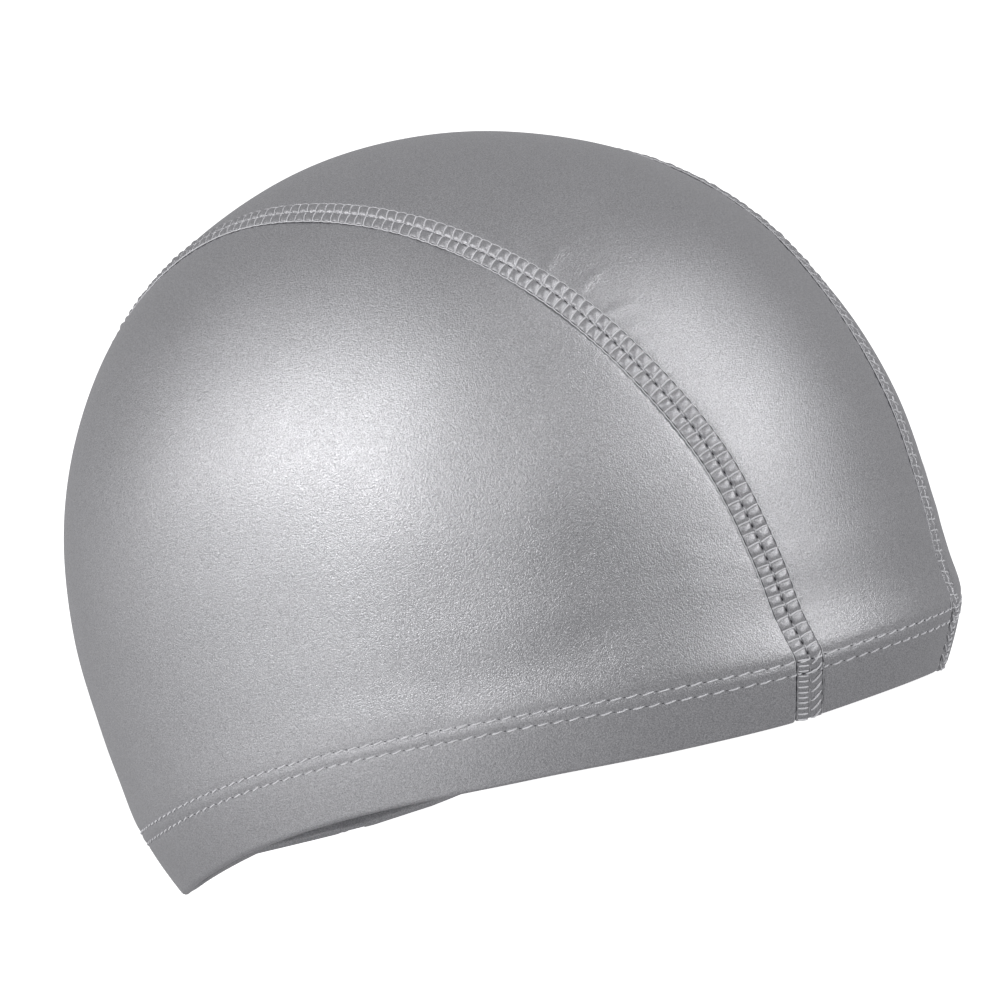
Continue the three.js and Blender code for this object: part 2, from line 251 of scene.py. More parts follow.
class SeamLine:
    """A seam's middle line from the rim at the forehead to the rim at the nape, evenly spaced."""

    SPACING = 0.3
    HEM_OVERRUN = 0.1
    # Points over the dome, and on the hem at each end.
    DOME_POINTS = 1081
    HEM_POINTS = 40
    # The dome's points start this far above the hem.
    LOWEST_LEVEL = 0.4
    # How many points to each side the direction across is evened over.
    ACROSS_EASE = 8

    def __init__(self, side):
        self.side = side
        angle = np.radians(np.linspace(0, 180, self.DOME_POINTS))
        y = side * CENTRE_HALF_WIDTH * between(SEAM, np.degrees(angle), "distance")
        phi, level = place_over_top(angle, y)
        over = level > self.LOWEST_LEVEL
        phi, level = phi[over], level[over]
        count = self.HEM_POINTS
        front = np.linspace(-round_rim(phi[0], HEM_WIDTHS) - self.HEM_OVERRUN, 0, count)
        back = np.linspace(0, -round_rim(phi[-1], HEM_WIDTHS) - self.HEM_OVERRUN, count)
        phi = np.concatenate([np.full(count, phi[0]), phi, np.full(count, phi[-1])])
        level = np.concatenate([front, level, back])
        rough = skin(phi, level)
        along = np.concatenate([[0], np.cumsum(np.linalg.norm(np.diff(rough, axis=0), axis=1))])
        self.length = along[-1]
        self.at = np.arange(0, self.length, self.SPACING)
        self.phi = np.interp(self.at, along, np.unwrap(phi))
        self.level = np.interp(self.at, along, level)
        self.points = skin(self.phi, self.level)
        tangent = np.gradient(self.points, axis=0)
        kernel = np.ones(2 * self.ACROSS_EASE + 1) / (2 * self.ACROSS_EASE + 1)
        padded = np.pad(tangent, ((self.ACROSS_EASE, self.ACROSS_EASE), (0, 0)), mode="edge")
        tangent = np.stack([np.convolve(padded[:, k], kernel, mode="valid") for k in range(3)], 1)
        self.across = unit(np.cross(tangent, normal(self.phi, self.level)))
        self.tree = KDTree(len(self.at))
        for i, point in enumerate(self.points):
            self.tree.insert(point, i)
        self.tree.balance()

    def place(self, at, offset):
        """The surface place at a distance along the seam and an offset to the wearer's left."""
        at, offset = np.broadcast_arrays(np.asarray(at, float), np.asarray(offset, float))
        phi, level = np.interp(at, self.at, self.phi), np.interp(at, self.at, self.level)
        across = np.stack([np.interp(at, self.at, self.across[:, k]) for k in range(3)], -1)
        return step_from(phi, level, across * offset[..., None])

    def at_level(self, level, end):
        """How far along the seam it crosses a level, at its front end (0) or its back end (1)."""
        half = len(self.at) // 2
        if end == 0:
            return np.interp(level, self.level[:half], self.at[:half])
        return np.interp(-level, -self.level[half:], self.at[half:])

    def nearest(self, points):
        """How far each point is from the seam, and where along it."""
        found = [self.tree.find(point) for point in points.reshape(-1, 3)]
        distance = np.array([f[2] for f in found]).reshape(points.shape[:-1])
        at = np.array([f[1] for f in found]).reshape(points.shape[:-1]) * self.SPACING
        return distance, at


LEFT, RIGHT = 1, -1
SEAMS = {side: SeamLine(side) for side in (LEFT, RIGHT)}

# Where the hem's two rows of stitches run, as levels, and how they press the cloth.
STITCH_ROWS = (-0.4, -3.2)
ROW_DIP = 0.16
ROW_DIP_WIDTH = 0.6
# The rim's rough radius, to space the dips between the stitches.
RIM_RADIUS = 85
# The hem's cloth stands up between the two rows.
RIDGE_HEIGHT = 0.12
RIDGE_WIDTH = 0.9
STITCH_PITCH = 3.3
STITCH_LENGTH = 2.2
STITCH_SLANT = 0.4
STITCH_LIFT = 0.22
STITCH_RADIUS = 0.17
# The dark slots of painted shade at the hem's needle holes, between the stitches.
HOLE_SHADE_LENGTH = 0.7
HOLE_SHADE_RADIUS = 0.15
HOLE_SHADE_LIFT = -0.05
# How high a row's stitches lie where they cross a seam's tape.
STITCH_OVER_TAPE = 0.42
# How finely the hem is measured to place them.
ROUND_STEPS = 4000

# The cloth's fullness just above the hem.
PUFF_HEIGHT = 0.6
PUFF_LEVEL = 5.0
PUFF = table("angle share", [
    [0, 0.50],
    [18, 0.70],
    [32, 1.00],
    [42, 0.75],
    [52, 0.35],
    [62, 0.25],
    [73, 0.50],
    [85, 0.35],
    [110, 0.30],
    [150, 0.45],
    [180, 0.40],
])

# How the seams draw up the cloth beside them.
PUCKER_HEIGHT = 0.055
PUCKER_REACH = 4.0
PUCKER_PITCH = 5.3
TUG_HEIGHT = 0.05
TUG_REACH = 1.1
EDGE_DIP = 0.16
EDGE_DIP_REACH = 0.6
EDGE_SWELL = 0.04
EDGE_SWELL_REACH = 4.0

# Folds and dents of their own: where each starts and ends, as a plan angle in degrees and a
# level, then its width and its height. They are the same on both sides of the cap.
FOLDS = table("from_angle from_level to_angle to_level width height", [
    [30, 82, 22, 86, 1.3, 0.17],
    [31, 88, 24, 95, 1.3, 0.17],
    [29, 76, 21, 77, 1.2, 0.14],
    [33, 94, 27, 104, 1.5, 0.12],
    [36, 22, 46, 14, 5.0, -0.22],
    [30, 12, 42, 9, 4.0, 0.15],
    [26, 17, 33, 20, 2.0, 0.07],
    [25, 23, 31, 27, 2.0, 0.06],
    [24, 29, 29, 33, 1.8, 0.05],
    [52, 10, 64, 7, 4.5, -0.12],
    [70, 6, 84, 7, 4.0, 0.10],
    [92, 9, 104, 12, 5.0, -0.10],
])
WAVE_HEIGHT = 0.10
# The hem's waves and its dips beside the seams, as shares of the panels'.
HEM_WAVE_SHARE = 0.4
HEM_DIP_SHARE = 0.6
# How far past a panel's edge the hem's bed for the tape ends.
BED_MARGIN = 0.1


def fold_heights(points):
    """The height that the folds and dents in the table give at points on the surface."""
    height = np.zeros(points.shape[:-1])
    for i in range(len(FOLDS["width"])):
        fold = {name: column[i] for name, column in FOLDS.items()}
        for side in (LEFT, RIGHT):
            start = skin(side * np.radians(fold["from_angle"]), fold["from_level"])
            end = skin(side * np.radians(fold["to_angle"]), fold["to_level"])
            run = end - start
            share = np.clip((points - start) @ run / (run @ run), 0, 1)
            distance = np.linalg.norm(points - start - share[..., None] * run, axis=-1)
            height += fold["height"] * bump(distance, fold["width"])
    return height


def slow_waves(points):
    """Gentle unevenness of cloth over a head, from a few waves in different directions."""
    x, y, z = points[..., 0], points[..., 1], points[..., 2]
    waves = np.sin(x / 9.1 + y / 13.7) * np.sin(z / 8.3 - x / 21.0)
    waves += 0.7 * np.sin(y / 7.9 - z / 11.3 + 1.3) * np.sin(x / 12.7 + 0.5)
    return waves


def row_press(phi, level):
    """How the stitch rows pull the cloth in: most at the needle holes."""
    holes = 0.75 + 0.25 * np.cos(2 * np.pi * phi * RIM_RADIUS / STITCH_PITCH)
    return -ROW_DIP * holes * sum(bump(level - row, ROW_DIP_WIDTH) for row in STITCH_ROWS)


def cloth_height(phi, level):
    """How far the real cloth stands out from the bare form."""
    points = skin(phi, level)
    up = np.maximum(level, 0) / PUFF_LEVEL
    puff = between(PUFF, from_front(phi), "share")
    height = PUFF_HEIGHT * puff * up ** 1.5 * np.exp(1.5 * (1 - up))
    height += row_press(phi, level)
    height += fold_heights(points) + WAVE_HEIGHT * slow_waves(points)
    for seam in SEAMS.values():
        distance, at = seam.nearest(points)
        off = np.maximum(distance - PANEL_EDGE, 0)
        sway = 0.9 * np.sin(at / 17.0) + 0.6 * np.sin(at / 7.3 + 2.0)
        strength = 0.65 + 0.35 * np.sin(at / 11.0 + 1.0)
        pucker = np.sin(2 * np.pi * at / PUCKER_PITCH + 2 * sway + 0.25 * off)
        height += PUCKER_HEIGHT * strength * pucker * np.exp(-off / PUCKER_REACH)
        height += TUG_HEIGHT * np.cos(2 * np.pi * cell_phase(seam, at)) * np.exp(-off / TUG_REACH)
        height += EDGE_SWELL * (off / EDGE_SWELL_REACH) * np.exp(1 - off / EDGE_SWELL_REACH)
        height -= EDGE_DIP * np.exp(-off / EDGE_DIP_REACH)
    return height


def hem_height(phi, level):
    """How far the hem's cloth stands out from the bare form."""
    share = np.clip(-level / round_rim(phi, HEM_WIDTHS), 0, 1)
    height = HEM_BULGE * np.sin(np.pi * share) + row_press(phi, level)
    middle = (STITCH_ROWS[0] + STITCH_ROWS[1]) / 2
    height += RIDGE_HEIGHT * bump(level - middle, RIDGE_WIDTH)
    points = skin(phi, level)
    height += HEM_WAVE_SHARE * WAVE_HEIGHT * slow_waves(points) * np.sin(np.pi * share)
    for seam in SEAMS.values():
        distance, _ = seam.nearest(points)
        off = np.maximum(distance - PANEL_EDGE, 0)
        height -= HEM_DIP_SHARE * EDGE_DIP * np.exp(-off / EDGE_DIP_REACH)
        bed = 1 - smoothstep(TAPE_HALF_WIDTH, PANEL_EDGE + BED_MARGIN, distance)
        height = mix(height, -TAPE_BED, bed)
    return height


# Meshes.
def add_mesh(name, points, faces, materials, inner_from=None):
    """A piece of the cap. Faces from number inner_from on get the second material."""
    mesh = bpy.data.meshes.new(name)
    mesh.from_pydata((points.reshape(-1, 3) * MM).tolist(), [], faces)
    mesh.validate()
    for material in materials:
        mesh.materials.append(material)
    mesh.polygons.foreach_set("use_smooth", [True] * len(mesh.polygons))
    if inner_from is not None:
        slots = np.zeros(len(mesh.polygons), np.int32)
        slots[inner_from:] = 1
        mesh.polygons.foreach_set("material_index", slots)
    mesh.set_sharp_from_angle(angle=np.radians(60))
    mesh.update()
    piece = bpy.data.objects.new(name, mesh)
    bpy.context.scene.collection.objects.link(piece)
    return piece


def quads(rows, columns, wrap_rows=False, wrap_columns=False, first=0):
    """The faces of a grid of points, numbered row by row."""
    i = np.arange(rows if wrap_rows else rows - 1)[:, None]
    j = np.arange(columns if wrap_columns else columns - 1)[None, :]
    next_i, next_j = (i + 1) % rows, (j + 1) % columns
    corners = [i * columns + j, next_i * columns + j, next_i * columns + next_j, i * columns + next_j]
    corners = np.broadcast_arrays(*corners)
    return (np.stack(corners, -1).reshape(-1, 4) + first).tolist()


def outward_faces(points, faces):
    """The same faces, turned so that the closed mesh has them facing out."""
    flat = points.reshape(-1, 3)
    corners = np.array([face[:3] + [face[-1]] for face in faces if len(face) <= 4])
    a, b, c, d = (flat[corners[:, k]] for k in range(4))
    volume = (a * np.cross(b, c)).sum() + (a * np.cross(c, d)).sum()
    return faces if volume > 0 else [face[::-1] for face in faces]


def strip_faces(points, outer_columns):
    """The faces of a closed strip, its outer side's first, and how many the outer side has."""
    rows, columns = points.shape[:2]
    grid = np.array(quads(rows, columns, wrap_columns=True)).reshape(rows - 1, columns, 4)
    outside = grid[:, :outer_columns - 1].reshape(-1, 4).tolist()
    inside = grid[:, outer_columns - 1:].reshape(-1, 4).tolist()
    caps = [list(range(columns))[::-1], list(range((rows - 1) * columns, rows * columns))]
    return outward_faces(points, outside + inside + caps), len(outside)


def skin_point(phi, level, height):
    """The points at a height above the bare surface."""
    return skin(phi, level) + normal(phi, level) * np.asarray(height)[..., None]


# The panels. Their lower borders lie just below the hem's top line.
BORDER_LEVEL = -0.25
CENTRE_ROWS = 560
CENTRE_COLUMNS = 78
INNER_STEP = 3


def centre_panel(materials):
    """The lengthwise panel: rows across it from the forehead to the nape."""
    seam = SEAMS[RIGHT]
    start, end = (seam.at_level(BORDER_LEVEL, k) for k in (0, 1))
    at = np.linspace(start, end, CENTRE_ROWS)
    edge_phi, edge_level = seam.place(at, PANEL_EDGE)
    edge_level[[0, -1]] = BORDER_LEVEL
    edge = sharp_skin(edge_phi, edge_level)
    angle = np.arctan2(edge[:, 2] - PIVOT_HEIGHT, edge[:, 0] - WIDEST_X)
    u = np.linspace(-1, 1, CENTRE_COLUMNS)
    across = 0.55 * u + 0.45 * np.sin(np.pi / 2 * u)
    y = -edge[:, 1:2] * across[None, :]
    phi, level = place_over_top(np.broadcast_to(angle[:, None], y.shape), y)
    phi[:, 0], phi[:, -1] = edge_phi, -edge_phi
    level[:, 0] = level[:, -1] = edge_level
    half_width = WIDTH / 2 * between(DOME, 0.0, "side")
    for row, ahead in ((0, True), (-1, False)):
        turn = np.arcsin(y[row] / half_width)
        phi[row] = turn if ahead else np.pi - turn
        level[row] = BORDER_LEVEL
    height = cloth_height(phi, level)
    outer = skin_point(phi, level, height)
    columns = np.arange(CENTRE_COLUMNS)[::-INNER_STEP]
    if columns[-1] != 0:
        columns = np.append(columns, 0)
    inner = skin_point(phi, level, height - CLOTH_THICKNESS)[:, columns]
    points = np.concatenate([outer, inner], 1)
    faces, outer_count = strip_faces(points, CENTRE_COLUMNS)
    return add_mesh("centre_panel_cloth", points, faces, materials, outer_count)


SIDE_SEAM_STEPS = 430
SIDE_HEM_STEPS = 330
SIDE_RINGS = 60
SIDE_INNER_RINGS = 12
SIDE_MIDDLE = (np.pi / 2, 0.3 * RISE_LENGTH)
RING_CROWDING = 1.25


def side_panel(side, name, materials):
    """A half-moon panel: rings from its middle out to the seam above it and the hem below it."""
    seam = SEAMS[side]
    start, end = (seam.at_level(BORDER_LEVEL, k) for k in (0, 1))
    at = np.linspace(start, end, SIDE_SEAM_STEPS)
    phi, level = seam.place(at, side * PANEL_EDGE)
    level[[0, -1]] = BORDER_LEVEL
    along_hem = np.linspace(phi[-1], phi[0], SIDE_HEM_STEPS + 2)[1:-1]
    phi = np.concatenate([phi, along_hem])
    level = np.concatenate([level, np.full(SIDE_HEM_STEPS, BORDER_LEVEL)])

    def ring(share):
        share = np.asarray(share)[:, None]
        return mix(side * SIDE_MIDDLE[0], phi, share), mix(SIDE_MIDDLE[1], level, share)

    outer_share = 1 - (1 - np.arange(1, SIDE_RINGS + 1) / SIDE_RINGS) ** RING_CROWDING
    inner_share = np.arange(SIDE_INNER_RINGS, 0, -1) / SIDE_INNER_RINGS
    outer_place, inner_place = ring(outer_share), ring(inner_share)
    outer = skin_point(*outer_place, cloth_height(*outer_place))
    inner = skin_point(*inner_place, cloth_height(*inner_place) - CLOTH_THICKNESS)
    count = len(phi)
    rings = np.concatenate([outer, inner]).reshape(-1, count, 3)
    middle = skin(side * SIDE_MIDDLE[0], SIDE_MIDDLE[1])
    out = normal(side * SIDE_MIDDLE[0], SIDE_MIDDLE[1])
    middle_height = outer[0] @ out - middle @ out
    top = middle + out * middle_height.mean()
    points = np.concatenate([rings.reshape(-1, 3), [top, top - out * CLOTH_THICKNESS]])
    top_index, bottom_index = len(points) - 2, len(points) - 1
    faces = quads(len(rings), count, wrap_columns=True)
    outside = faces[:(SIDE_RINGS - 1) * count]
    inside = faces[(SIDE_RINGS - 1) * count:]
    last = (len(rings) - 1) * count
    outside += [[top_index, j, (j + 1) % count] for j in range(count)]
    inside += [[bottom_index, last + (j + 1) % count, last + j] for j in range(count)]
    faces = outward_faces(points, outside + inside)
    return add_mesh(name, points, faces, materials, len(outside))


# The hem.
HEM_COLUMNS = 1400
HEM_TOP_LEVEL = 0.45
HEM_TUCK = 0.2
HEM_OUTER_ROWS = 30
HEM_FOOT_STEPS = 7
HEM_INNER_ROWS = 8
# The level that the hem's columns are spaced evenly at, and where its tuck under the panels starts.
HEM_MIDDLE_LEVEL = -8
TUCK_FROM = -0.3
# The most that the hem's fold stands out past the bare form.
FOOT_SWELL = 0.4


def even_round_rim(count, level):
    """Plan angles spaced evenly by the distance along the rim, right round."""
    phi = np.linspace(-np.pi, np.pi, 4 * count + 1)
    points = skin(phi, np.full_like(phi, level))
    run = np.concatenate([[0], np.cumsum(np.linalg.norm(np.diff(points, axis=0), axis=1))])
    return np.interp(np.arange(count) / count * run[-1], run, phi), run[-1]


def hem_band(materials):
    """The folded hem: a ring of sections, each down the outside, round the fold and up inside."""
    phi, _ = even_round_rim(HEM_COLUMNS, HEM_MIDDLE_LEVEL)
    width = round_rim(phi, HEM_WIDTHS) + HEM_FOOT_DROP
    radius = HEM_THICKNESS / 2
    sections = []
    for share in np.linspace(0, 1, HEM_OUTER_ROWS):
        level = mix(HEM_TOP_LEVEL, radius - width, share)
        tuck = HEM_TUCK * smoothstep(TUCK_FROM, HEM_TOP_LEVEL, level)
        sections.append(skin_point(phi, level, hem_height(phi, level) - tuck))
    foot_height = hem_height(phi, radius - width)
    for turn in np.pi * np.arange(1, HEM_FOOT_STEPS) / HEM_FOOT_STEPS:
        level = radius - width - radius * np.sin(turn)
        depth = radius * (1 - np.cos(turn))
        height = np.minimum(foot_height * (1 + np.cos(turn)) / 2, FOOT_SWELL) - depth
        out = normal(phi, radius - width)
        base = skin(phi, radius - width) + (skin(phi, level) - skin(phi, radius - width))
        sections.append(base + out * height[:, None])
    for share in np.linspace(0, 1, HEM_INNER_ROWS):
        level = mix(radius - width, HEM_TOP_LEVEL, share)
        sections.append(skin_point(phi, level, np.full_like(phi, -HEM_THICKNESS)))
    points = np.stack(sections, 1)
    rows, columns = points.shape[:2]
    faces = outward_faces(points, quads(rows, columns, wrap_rows=True, wrap_columns=True))
    return add_mesh("hem_cloth", points, faces, materials)


# The ladder seams.
CELL_PITCH = 2.35
STEPS_PER_CELL = 11
TAPE_BASE = 0.08
PILLOW_HEIGHT = 0.52
VALLEY_HALF_WIDTH = 0.30
HOLE_DEPTH = 0.35
HOLE_SHARE = 0.42
RUNG_LIFT = 0.08
# How far the cells lean along the seam for each millimetre across it, over the top and back.
LEAN = 0.45
LEAN_FROM, LEAN_TO = 0.12, 0.50
# The hem's close bars and slanted threads, and the levels that they end at, in front and at the back.
BAR_PITCH = 1.25
SLANT_PITCH = 2.15
BAR_RADIUS = 0.2
BAR_LIFT = 0.26
BAR_TOP = 1.5
BAR_FEET = (-13.9, -16.6)
# The thread is drawn tighter over the top, so the rungs are thinner there. The dark slots, painted
# shade in the needle holes, narrow over the top too, where less of that shade shows.
FRONT_RUNG_RADIUS = 0.2
EDGE_SHADE_SLOT = 1.4
MIDDLE_SHADE_SLOT = 0.8
SHADE_SLOT_RADIUS = 0.13
EDGE_SHADE_SLOT_LIFT = 0.14
MIDDLE_SHADE_SLOT_LIFT = -0.10
# The tape stops short of the seam's ends by this. Its columns, from its middle out to one edge,
# crowd together where its shape turns most. Below, it needs only a few.
TAPE_END = 0.35
TAPE_COLUMNS = np.array([0, 0.12, 0.28, 0.42, 0.62, 0.95, 1.35, 1.75, 2.15, 2.5, 2.75, 2.9])
TAPE_UNDER_COLUMNS = np.array([1, 0.4, -0.4, -1])


def on_hem(seam, at):
    """1 where a seam lies on the hem, 0 over the dome."""
    front, back = seam.at_level(0, 0), seam.at_level(0, 1)
    return np.maximum(1 - smoothstep(front - 1, front + 1, at), smoothstep(back - 1, back + 1, at))


def cell_phase(seam, at):
    """How far along its cell a place on a seam is, with a little unevenness, in cells."""
    return at / CELL_PITCH + 0.10 * np.sin(at / 5.1) + 0.07 * np.sin(at / 2.3 + seam.side)


def over_top(seam, at):
    """0 at the front of a seam, rising to 1 over the top and the back."""
    return smoothstep(LEAN_FROM, LEAN_TO, at / seam.length)


def leaning(seam, at, offset):
    """How much further back than its middle a cell's line crosses the seam at an offset."""
    return -seam.side * LEAN * over_top(seam, at) * offset


def tape_height(seam, at, offset):
    """The pillows between the ladder's threads, their middle valley and the needle holes."""
    phase = cell_phase(seam, at - leaning(seam, at, offset))
    column_width = TAPE_HALF_WIDTH - VALLEY_HALF_WIDTH
    beside = np.clip((np.abs(offset) - VALLEY_HALF_WIDTH) / column_width, 0, 1)
    across = np.sin(np.pi * np.clip(beside * 0.94 + 0.03, 0, 1)) ** 0.45 * (beside > 0)
    cell = np.floor(phase)
    vary = 1 + 0.22 * np.sin(cell * 2.7 + offset * 0.2) * np.sin(cell * 0.71 + seam.side)
    along = np.abs(np.sin(np.pi * phase)) ** 0.75
    hem = on_hem(seam, at)
    pillow = PILLOW_HEIGHT * vary * across * mix(along, 0.2 + 0.1 * along, hem)
    hole_place = np.abs((phase % 1) - 0.5) / HOLE_SHARE
    hole = bump(hole_place, 0.75) * bump(offset, VALLEY_HALF_WIDTH * 0.9)
    return TAPE_BASE + pillow - HOLE_DEPTH * hole * (1 - 0.7 * hem)


def seam_tape(side, name, materials):
    """The padded tape of a seam: rows across it from the forehead to the nape."""
    seam = SEAMS[side]
    cells = seam.length / CELL_PITCH
    at = np.linspace(TAPE_END, seam.length - TAPE_END, int(cells * STEPS_PER_CELL))
    top = np.concatenate([-TAPE_COLUMNS[::-1], TAPE_COLUMNS[1:]]) * TAPE_HALF_WIDTH / TAPE_COLUMNS[-1]
    offset, along = np.meshgrid(top, at)
    outer = skin_point(*seam.place(along, offset), tape_height(seam, along, offset))
    offset, along = np.meshgrid(TAPE_UNDER_COLUMNS * TAPE_HALF_WIDTH, at)
    inner = skin_point(*seam.place(along, offset), np.full(along.shape, -TAPE_DEPTH))
    points = np.concatenate([outer, inner], 1)
    faces, outer_count = strip_faces(points, len(top))
    return add_mesh(name, points, faces, materials, outer_count)


TUBE_SIDES = 5


class Threads:
    """Tubes of few sides along paths of points, joined into one mesh. The dark slots of painted shade
    are made of them too.
    """

    def __init__(self):
        self.points, self.faces = [], []
        self.count = 0

    def tubes(self, paths, outward, radius):
        """Closed tubes along rows of points. radius is one value, or one for each point."""
        tangent = unit(np.gradient(paths, axis=1))
        side = unit(np.cross(tangent, outward))
        up = np.cross(side, tangent)
        turn = 2 * np.pi * np.arange(TUBE_SIDES) / TUBE_SIDES
        radius = np.broadcast_to(radius, paths.shape[:2])[..., None, None]
        ring = side[..., None, :] * np.cos(turn)[:, None] + up[..., None, :] * np.sin(turn)[:, None]
        points = paths[..., None, :] + radius * ring
        count, steps = paths.shape[:2]
        walls = np.array(quads(steps, TUBE_SIDES, wrap_columns=True))
        start_cap = list(range(TUBE_SIDES))[::-1]
        end_cap = [(steps - 1) * TUBE_SIDES + k for k in range(TUBE_SIDES)]
        for first in self.count + np.arange(count) * steps * TUBE_SIDES:
            self.faces += (walls + first).tolist()
            self.faces += [[first + k for k in start_cap], [first + k for k in end_cap]]
        self.points.append(points.reshape(-1, 3))
        self.count += count * steps * TUBE_SIDES

    def piece(self, name, material):
        return add_mesh(name, np.concatenate(self.points), self.faces, [material])


def seam_path(seam, at, offset, height):
    """Points of a thread on a seam, and the direction out of the cloth at each."""
    phi, level = seam.place(at, offset)
    out = normal(phi, level)
    return skin(phi, level) + out * np.asarray(height)[..., None], out


def cell_ends(seam):
    """How far along a seam each of its cells ends."""
    grid = np.arange(1.2, seam.length - 1.2, 0.05)
    phase = cell_phase(seam, grid)
    return np.interp(np.arange(np.ceil(phase[0]), np.floor(phase[-1])), phase, grid)


def edge_threads(threads, seam):
    """The scalloped thread lines along a seam's two edges."""
    at = np.arange(0.5, seam.length - 0.5, CELL_PITCH / 7)
    toward = np.array([-1, 1])[:, None]
    hem = on_hem(seam, at)
    phase = cell_phase(seam, at - leaning(seam, at, toward * TAPE_HALF_WIDTH))
    scallop = np.abs(np.sin(np.pi * phase)) ** 0.7
    top = over_top(seam, at)
    offset = toward * (TAPE_HALF_WIDTH + mix(0.18, -0.08, top) + mix(0.14, 0.30, top) * scallop)
    paths, out = seam_path(seam, at, offset, mix(0.04 + 0.08 * scallop, -0.02, hem))
    threads.tubes(paths, out, THREAD_RADIUS * mix(1.0, 0.75, hem))


def rungs(threads, seam):
    """The ladder's rungs, one between each two cells of both columns over the dome."""
    at = cell_ends(seam)
    at = at[on_hem(seam, at) < 0.5]
    run = np.linspace(0, 1, 7)
    for toward in (-1, 1):
        tilt = 0.25 * np.sin(1.9 * np.arange(len(at)) + toward)
        offset = toward * mix(0.25, TAPE_HALF_WIDTH - 0.05, run)
        along = at[:, None] + tilt[:, None] * (run - 0.5) + 0.12 * np.sin(np.pi * run)
        along = along + leaning(seam, at[:, None], offset)
        height = TAPE_BASE + RUNG_LIFT + 0.06 * np.sin(np.pi * run)
        paths, out = seam_path(seam, along, offset, height)
        radius = mix(FRONT_RUNG_RADIUS, THREAD_RADIUS, over_top(seam, along))
        threads.tubes(paths, out, radius)


def hem_bars(threads, seam):
    """On the hem, close bars in the side panel's column and long slanted threads in the other."""
    run = np.linspace(0, 1, 8)
    taper = BAR_RADIUS * np.sin(np.pi * (0.12 + 0.76 * run)) ** 0.4
    for end, foot_level in enumerate(BAR_FEET):
        top, foot = seam.at_level(BAR_TOP, end), seam.at_level(foot_level, end)
        low, high = min(top, foot), max(top, foot)
        down = 1 if end == 1 else -1
        at = np.arange(low, high, BAR_PITCH)[:, None]
        along = at - down * 0.35 * (run - 0.5) + 0.08 * np.sin(9 * at)
        offset = seam.side * mix(0.45, 2.65, run)
        height = BAR_LIFT + 0.14 * np.sin(np.pi * run)
        threads.tubes(*seam_path(seam, along, offset, height), taper)
        at = np.arange(low + 0.4, high, SLANT_PITCH)[:, None]
        along = np.clip(at - down * 1.9 * (run ** 1.3 - 0.5), 0.4, seam.length - 0.4)
        offset = -seam.side * mix(0.35, 2.7, run)
        height = BAR_LIFT + 0.16 * np.sin(np.pi * run)
        threads.tubes(*seam_path(seam, along, offset, height), taper)


def middle_beads(threads, seam):
    """The short covering stitches down a seam's middle, one between each two needle holes."""
    at = cell_ends(seam)[:, None]
    hem = on_hem(seam, at)
    run = np.linspace(-1, 1, 6)
    offset = 0.08 * np.sin(2.3 * np.arange(len(at)))[:, None] + 0.06 * run
    height = TAPE_BASE + 0.10 * (1 - run ** 2) + mix(0.05, 0.0, hem)
    paths, out = seam_path(seam, at + 0.26 * CELL_PITCH * run, offset, height)
    threads.tubes(paths, out, 1.05 * THREAD_RADIUS * np.sqrt(1.02 - run ** 2) * mix(1, 0.6, hem))


def seam_hole_shade(side, name, material):
    """Dark slots of painted shade in the needle holes: along both edges of a seam, and down its middle.
    """
    holes = Threads()
    seam = SEAMS[side]
    ends = cell_ends(seam)
    middles = ((ends[:-1] + ends[1:]) / 2)[:, None]
    run = np.linspace(-0.5, 0.5, 5)
    swell = np.sqrt(1.02 - (2 * run) ** 2)
    for toward in (-1, 1):
        offset = toward * (TAPE_HALF_WIDTH + 0.04)
        along = middles + leaning(seam, middles, offset) + EDGE_SHADE_SLOT * run
        paths, out = seam_path(seam, along, offset, EDGE_SHADE_SLOT_LIFT)
        holes.tubes(paths, out, SHADE_SLOT_RADIUS * swell * mix(1, 0.45, over_top(seam, middles)))
    middles = middles[on_hem(seam, middles) < 0.5][:, None]
    along = middles + MIDDLE_SHADE_SLOT * run
    paths, out = seam_path(seam, along, 0, MIDDLE_SHADE_SLOT_LIFT)
    holes.tubes(paths, out, SHADE_SLOT_RADIUS * swell * mix(1, 0.6, over_top(seam, middles)))
    return holes.piece(name, material)


def seam_threads(side, name, material):
    threads = Threads()
    seam = SEAMS[side]
    edge_threads(threads, seam)
    rungs(threads, seam)
    middle_beads(threads, seam)
    hem_bars(threads, seam)
    return threads.piece(name, material)


# The hem's stitches.
def row_starts(row, level):
    """Where a stitch row's stitches start, as shares of the way round the hem."""
    _, length = even_round_rim(400, level)
    count = int(round(length / STITCH_PITCH))
    return (np.arange(count)[:, None] + 0.5 * row) / count, length


def on_stitch_row(level, share, slant, lift):
    """Points that lie along a stitch row, and the direction out of the cloth at each."""
    fine, _ = even_round_rim(ROUND_STEPS, level)
    phi = np.interp(share % 1, np.arange(ROUND_STEPS) / ROUND_STEPS, fine)
    points = skin(phi, level + slant)
    over_tape = 0
    for seam in SEAMS.values():
        distance, _ = seam.nearest(points)
        over_tape += 1 - smoothstep(TAPE_HALF_WIDTH - 0.3, PANEL_EDGE, distance)
    lie = mix(hem_height(phi, np.full_like(phi, level)), STITCH_OVER_TAPE, over_tape) + lift
    out = normal(phi, level + slant)
    return points + out * lie[..., None], out


def hem_stitches(material):
    threads = Threads()
    run = np.linspace(0, 1, 7)
    for row, level in enumerate(STITCH_ROWS):
        start, length = row_starts(row, level)
        wave = np.sin(2.1 * np.arange(len(start)))[:, None]
        slant = STITCH_SLANT * (run - 0.5) * (1 + 0.3 * wave)
        lift = STITCH_LIFT * np.sin(np.pi * run) - 0.06 + 0.02 * wave
        paths, out = on_stitch_row(level, start + run * STITCH_LENGTH / length, slant, lift)
        threads.tubes(paths, out, STITCH_RADIUS)
    return threads.piece("hem_stitches", material)


